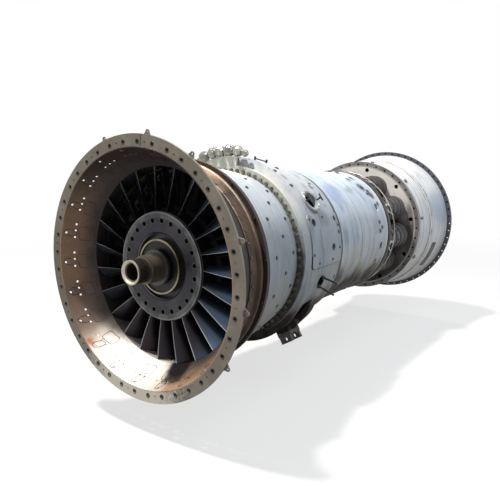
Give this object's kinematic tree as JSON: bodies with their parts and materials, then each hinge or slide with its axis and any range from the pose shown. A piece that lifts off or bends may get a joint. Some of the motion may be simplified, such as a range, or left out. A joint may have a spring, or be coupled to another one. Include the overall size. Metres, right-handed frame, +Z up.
{
  "type": "turboprop engine",
  "caption": "Two-spool turboprop engine core with an open inlet duct, a splined drive shaft, bare flame tubes and a flaring turbine case.",
  "frame": {"origin": "centre of the front face of the inlet flange", "axes": "+Y along the shafts towards the exhaust, +Z up, the drive shaft points along -Y"},
  "size_m": [0.8695, 1.9935, 0.8706],
  "materials": {
    "inlet_grey": "dull grey, weathered",
    "heat_brown": "heat-stained brown sheet",
    "case_silver": "bare, dull silver",
    "cast_grey": "grey casting, dirty low down",
    "dark_steel": "dark, oxidised",
    "blade_steel": "dark polished blades",
    "shaft_steel": "machined steel",
    "seal_gold": "worn gold ring",
    "pipe_grey": "grey pipe and unions",
    "can_steel": "heat-stained sheet",
    "plate_tan": "dull tan",
    "turbine_grey": "pale grey, rust-stained"
  },
  "bodies": {
    "casing": {"inlet_flange": "inlet_grey", "inlet_lugs": "inlet_grey", "inlet_duct": "heat_brown", "inlet_rear_ring": "heat_brown", "ring_rivets": "dark_steel", "ring_bolts": "dark_steel", "low_compressor_case": "case_silver", "low_compressor_bolts": "dark_steel", "low_compressor_vanes": "blade_steel", "joint_bolts": "dark_steel", "intermediate_case": "cast_grey", "flank_cover": "cast_grey", "cover_screws": "dark_steel", "port_latches": "dark_steel", "drain_studs": "dark_steel", "lifting_hoop": "dark_steel", "mount_bracket": "cast_grey", "bracket_bolts": "dark_steel", "vent_pipe": "pipe_grey", "pipe_unions": "pipe_grey", "pipe_clip_plate": "dark_steel", "bearing_support_frame": "cast_grey", "high_compressor_case": "case_silver", "high_compressor_vanes": "blade_steel", "diffuser_plate": "cast_grey", "fuel_manifold": "can_steel", "fuel_nozzles": "can_steel", "flame_tubes": "can_steel", "cross_tubes": "can_steel", "burner_inner_case": "can_steel", "burner_rear_plate": "plate_tan", "turbine_case": "turbine_grey", "turbine_plugs": "dark_steel", "turbine_nozzle_vanes": "blade_steel", "exhaust_frame": "turbine_grey", "rear_bearing_cover": "cast_grey", "low_front_race": "shaft_steel", "high_front_race": "shaft_steel", "high_rear_race": "shaft_steel", "low_rear_race": "shaft_steel"},
    "low_spool": {"drive_shaft": "shaft_steel", "hub_plate": "case_silver", "hub_seal_ring": "seal_gold", "low_stage_1_disc": "case_silver", "stage_1_blades": "blade_steel", "low_compressor_drum": "shaft_steel", "low_compressor_blades": "blade_steel", "low_shaft": "shaft_steel", "low_turbine_discs": "shaft_steel", "low_turbine_blades": "blade_steel"},
    "high_spool": {"high_shaft": "shaft_steel", "high_compressor_drum": "shaft_steel", "high_compressor_blades": "blade_steel", "high_turbine_disc": "shaft_steel", "high_turbine_blades": "blade_steel"},
    "low_front_rollers": {"low_front_rollers": "shaft_steel"},
    "high_front_rollers": {"high_front_rollers": "shaft_steel"},
    "high_rear_rollers": {"high_rear_rollers": "shaft_steel"},
    "low_rear_rollers": {"low_rear_rollers": "shaft_steel"}
  },
  "joints": [
    {"name": "low_spool_spin", "type": "hinge", "parent": "casing", "child": "low_spool", "pos_m": [0, 0, 0], "axis": [0, 1, 0], "continuous": true},
    {"name": "high_spool_spin", "type": "hinge", "parent": "casing", "child": "high_spool", "pos_m": [0, 0.8, 0], "axis": [0, 1, 0], "continuous": true},
    {"name": "low_front_rollers_spin", "type": "hinge", "parent": "casing", "child": "low_front_rollers", "pos_m": [0, 0, 0], "axis": [0, 1, 0], "continuous": true},
    {"name": "high_front_rollers_spin", "type": "hinge", "parent": "casing", "child": "high_front_rollers", "pos_m": [0, 0, 0], "axis": [0, 1, 0], "continuous": true},
    {"name": "high_rear_rollers_spin", "type": "hinge", "parent": "casing", "child": "high_rear_rollers", "pos_m": [0, 0, 0], "axis": [0, 1, 0], "continuous": true},
    {"name": "low_rear_rollers_spin", "type": "hinge", "parent": "casing", "child": "low_rear_rollers", "pos_m": [0, 0, 0], "axis": [0, 1, 0], "continuous": true}
  ],
  "couplings": [
    {"joint": "low_front_rollers_spin", "follows": "low_spool_spin", "ratio": 0.43228},
    {"joint": "high_front_rollers_spin", "follows": "high_spool_spin", "ratio": 0.45704},
    {"joint": "high_rear_rollers_spin", "follows": "high_spool_spin", "ratio": 0.45704},
    {"joint": "low_rear_rollers_spin", "follows": "low_spool_spin", "ratio": 0.42088}
  ]
}
